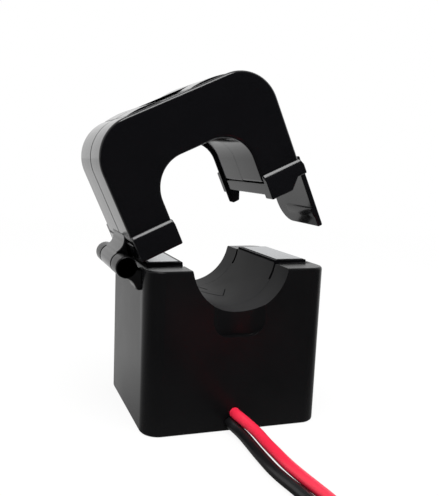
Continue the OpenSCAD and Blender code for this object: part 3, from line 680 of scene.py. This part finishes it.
def makeLip():  # the rear shell's locating lip round the window, down behind the latch foot
    bm = bmesh.new()
    outer, inner = [archLine(window["half"] + grow, window["top"] + grow, window["corner"] + grow,
                             (window["shellFoot"] + arch["foot"], lip["tip"] + raised))
                    for grow, raised in ((lip["inWall"], 0.0), (-lip["proud"], lip["bevel"]))]
    archRing(bm, outer, inner, lip["front"], lip["back"])
    return finishRing("window_lip", bm, lip["ease"])


def makeSeamBand():  # the rear shell's spigot, seen in the seam just under the surface
    bm = bmesh.new()
    foot = window["shellFoot"] + arch["foot"]
    outer, inner = [archLine(seam["half"] - under, ribs["base"] - under, seam["corner"] - under,
                             (foot, foot))
                    for under in (seam["under"], seam["deep"])]
    archRing(bm, outer, inner, seam["front"], seam["back"])
    for side in (-1, 1):
        xs = [side * (ribs["inner"] + ribs["wide"] * k / ribs["steps"])
              for k in range(ribs["steps"] + 1)]
        archRing(bm, [(x, crownHeight(x) - seam["under"]) for x in xs],
                 [(x, ribs["base"] - seam["under"] - seam["underRib"]) for x in xs],
                 seam["front"], seam["back"])
    return finishRing("seam_band", bm, seam["ease"])


makeSeamBand()
print("seam band made")

witness = {  # parting lines left by the tool in the bore: runs of (angle in degrees, y in mm)
    "runs": [[(-91, 11.3), (-84, 6.2)], [(-96.5, 4.8), (-79, -2.3), (-66.5, 2.3)]],
    "wide": 0.24, "proud": 0.03, "step": 1.0,
}


def makeWitnessLines():  # thin closed strips, half sunk in the bore
    bm = bmesh.new()
    for run in witness["runs"]:
        points = [Vector((math.radians(angle) * bore["radius"], y)) for angle, y in run]
        line = [points[0]]
        for a, b in zip(points, points[1:]):
            count = max(1, round((b - a).length / witness["step"]))
            line += [a.lerp(b, k / count) for k in range(1, count + 1)]
        rows = [[], [], [], []]
        for i, here in enumerate(line):
            along = (line[min(i + 1, len(line) - 1)] - line[max(i - 1, 0)]).normalized()
            side = Vector((-along.y, along.x)) * witness["wide"] / 2
            for row, (spot, depth) in zip(rows, ((here + side, 1), (here + side, -1),
                                                 (here - side, -1), (here - side, 1))):
                r, turned = bore["radius"] + depth * witness["proud"], spot.x / bore["radius"]
                row.append(bm.verts.new(Vector((r * math.cos(turned), spot.y,
                                                bore["axis"] + r * math.sin(turned))) * mm))
        closeBand(bm, rows)
    bmesh.ops.recalc_face_normals(bm, faces=bm.faces)
    return makePiece("bore_witness_lines", bm, rimAbs, "base")


makeWitnessLines()
makeLip()
print("lip and witness lines made")
for name, size in moulded.items():
    print("eased:", name, len(makeMoulding(name, size).data.polygons), "faces")


studio = {  # metres; the room is white behind the part and dark before it in what the part mirrors
    "paper": "#f4f4f2", "rough": 0.9, "size": 3.0, "under": 0.00002,
    "bright": {"From Min": 0.1, "From Max": 0.5, "To Min": 0.9, "To Max": 1.0},
    "mirroredFloor": {"From Min": -0.06, "From Max": 0.05, "To Min": 0.06, "To Max": 0.85},
    "mirroredRoom": {"From Min": -0.5, "From Max": 0.15, "To Min": 0.05, "To Max": 1.0},
    "ambient": 0.6,
}
white = (1, 1, 1, 1)
lamps = {  # metres and watts; the fill is kept out of reflections
    "keyLamp": {"place": (-0.08, -0.16, 0.65), "size": 0.36, "power": 3.6, "mirrored": True},
    "fillLamp": {"place": (0.45, -0.45, 0.35), "size": 0.5, "power": 1.2, "mirrored": False},
}
aim = Vector((0, 0, 0.04))


def makeFloor():
    bm = bmesh.new()
    bmesh.ops.create_grid(bm, x_segments=1, y_segments=1, size=studio["size"])
    mesh = bpy.data.meshes.new("floor")
    bm.to_mesh(mesh)
    bm.free()
    material, tree, shader, place = startMaterial("floor_paper")
    shader.inputs["Base Color"].default_value = linear(studio["paper"])
    shader.inputs["Roughness"].default_value = studio["rough"]
    rays = addNode(tree, "ShaderNodeLightPath")
    parts = addNode(tree, "ShaderNodeSeparateXYZ", links={"Vector": place})
    away = addNode(tree, "ShaderNodeVectorMath", {"operation": "LENGTH"}, links={0: place})
    direct = addNode(tree, "ShaderNodeMapRange", inputs=studio["bright"],
                     links={"Value": away.outputs["Value"]})
    mirrored = addNode(tree, "ShaderNodeMapRange", {"interpolation_type": "SMOOTHSTEP"},
                       studio["mirroredFloor"], {"Value": parts.outputs["Y"]})
    byCamera = addNode(tree, "ShaderNodeMath", {"operation": "MULTIPLY"},
                       links={0: rays.outputs["Is Camera Ray"], 1: direct.outputs["Result"]})
    share = addNode(tree, "ShaderNodeMath", {"operation": "MAXIMUM"},
                    links={0: byCamera.outputs["Value"], 1: rays.outputs["Is Glossy Ray"]})
    level = addNode(tree, "ShaderNodeMix", {"data_type": "FLOAT"}, {2: 1.0},
                    {0: rays.outputs["Is Glossy Ray"], 3: mirrored.outputs["Result"]})
    glow = addNode(tree, "ShaderNodeEmission", inputs={"Color": white},
                   links={"Strength": level.outputs[0]})
    both = addNode(tree, "ShaderNodeMixShader",
                   links={0: share.outputs["Value"], 1: shader.outputs["BSDF"],
                          2: glow.outputs["Emission"]})
    out = next(n for n in tree.nodes if n.type == "OUTPUT_MATERIAL")
    tree.links.new(both.outputs["Shader"], out.inputs["Surface"])
    mesh.materials.append(material)
    floor = bpy.data.objects.new("floor", mesh)
    floor.location = (0, 0, -studio["under"])
    bpy.context.scene.collection.objects.link(floor)


def makeWorld():
    world = bpy.data.worlds.new("studio")
    bpy.context.scene.world = world
    world.use_nodes = True
    tree = world.node_tree
    tree.nodes.clear()
    rays = addNode(tree, "ShaderNodeLightPath")
    way = addNode(tree, "ShaderNodeTexCoord").outputs["Generated"]
    parts = addNode(tree, "ShaderNodeSeparateXYZ", links={"Vector": way})
    back = addNode(tree, "ShaderNodeMapRange", {"interpolation_type": "SMOOTHSTEP"},
                   studio["mirroredRoom"], {"Value": parts.outputs["Y"]})
    soft = addNode(tree, "ShaderNodeMath", {"operation": "MAXIMUM"},
                   links={0: rays.outputs["Is Glossy Ray"],
                          1: rays.outputs["Is Transmission Ray"]})
    dim = addNode(tree, "ShaderNodeMix", {"data_type": "FLOAT"}, {2: studio["ambient"]},
                  {0: soft.outputs["Value"], 3: back.outputs["Result"]})
    seen = addNode(tree, "ShaderNodeMix", {"data_type": "FLOAT"}, {3: 1.0},
                   {0: rays.outputs["Is Camera Ray"], 2: dim.outputs[0]})
    glow = addNode(tree, "ShaderNodeBackground", inputs={"Color": white},
                   links={"Strength": seen.outputs[0]})
    addNode(tree, "ShaderNodeOutputWorld", links={"Surface": glow.outputs["Background"]})


def addLamp(name, place, size, power, mirrored):
    data = bpy.data.lights.new(name, "AREA")
    data.shape, data.size, data.energy = "DISK", size, power
    lamp = bpy.data.objects.new(name, data)
    lamp.location = place
    lamp.visible_glossy = mirrored
    lamp.rotation_euler = (aim - Vector(place)).to_track_quat("-Z", "Y").to_euler()
    bpy.context.scene.collection.objects.link(lamp)


makeFloor()
makeWorld()
for name, lamp in lamps.items():
    addLamp(name, **lamp)
print("studio set")
